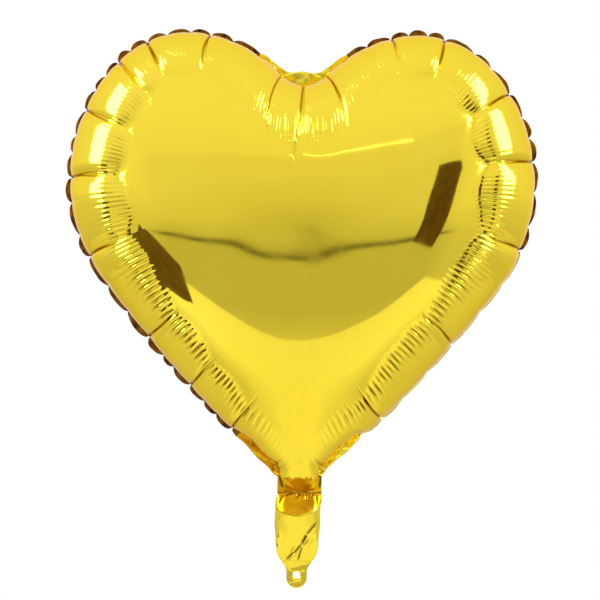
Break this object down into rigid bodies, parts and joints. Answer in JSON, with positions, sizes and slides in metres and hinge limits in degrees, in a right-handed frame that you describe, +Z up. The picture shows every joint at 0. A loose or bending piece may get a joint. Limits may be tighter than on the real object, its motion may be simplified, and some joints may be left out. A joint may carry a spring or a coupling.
{
  "type": "heart-shaped foil balloon",
  "caption": "Inflated heart-shaped balloon of shiny gold foil, with a flat tail, a self-closing film valve inside and a ribbon tab.",
  "frame": {"origin": "centre of the ribbon hole in the tab at the foot of the tail, midway between the two films", "axes": "+X towards the viewer's right when looking at the front, +Y from the front towards the back, +Z up from the tab to the heart's notch"},
  "size_m": [0.3802, 0.1736, 0.4494],
  "materials": {
    "gold_foil_front": "mirror-bright metallised film, gold",
    "gold_foil_back": "mirror-bright metallised film, gold",
    "clear_valve_film": "clear soft polyethylene film"
  },
  "bodies": {
    "envelope": {"front_panel": "gold_foil_front", "back_panel": "gold_foil_back"},
    "tail": {"tail_front_layer": "gold_foil_front", "tail_back_layer": "gold_foil_back"},
    "tab": {"tab_front_layer": "gold_foil_front", "tab_back_layer": "gold_foil_back"},
    "valve_front": {"valve_film_front": "clear_valve_film"},
    "valve_back": {"valve_film_back": "clear_valve_film"}
  },
  "joints": [
    {"name": "tail_fold", "type": "hinge", "parent": "envelope", "child": "tail", "pos_m": [0, 0, 0.07535], "axis": [1, 0, 0], "range_deg": [-75, 75]},
    {"name": "tab_fold", "type": "hinge", "parent": "tail", "child": "tab", "pos_m": [0, 0, 0.0085], "axis": [1, 0, 0], "range_deg": [-90, 90]},
    {"name": "valve_front_open", "type": "hinge", "parent": "envelope", "child": "valve_front", "pos_m": [0, -0.0004, 0.0848], "axis": [1, 0, 0], "range_deg": [0, 6]},
    {"name": "valve_back_open", "type": "hinge", "parent": "envelope", "child": "valve_back", "pos_m": [0, 0.0004, 0.0848], "axis": [1, 0, 0], "range_deg": [-6, 0]}
  ]
}
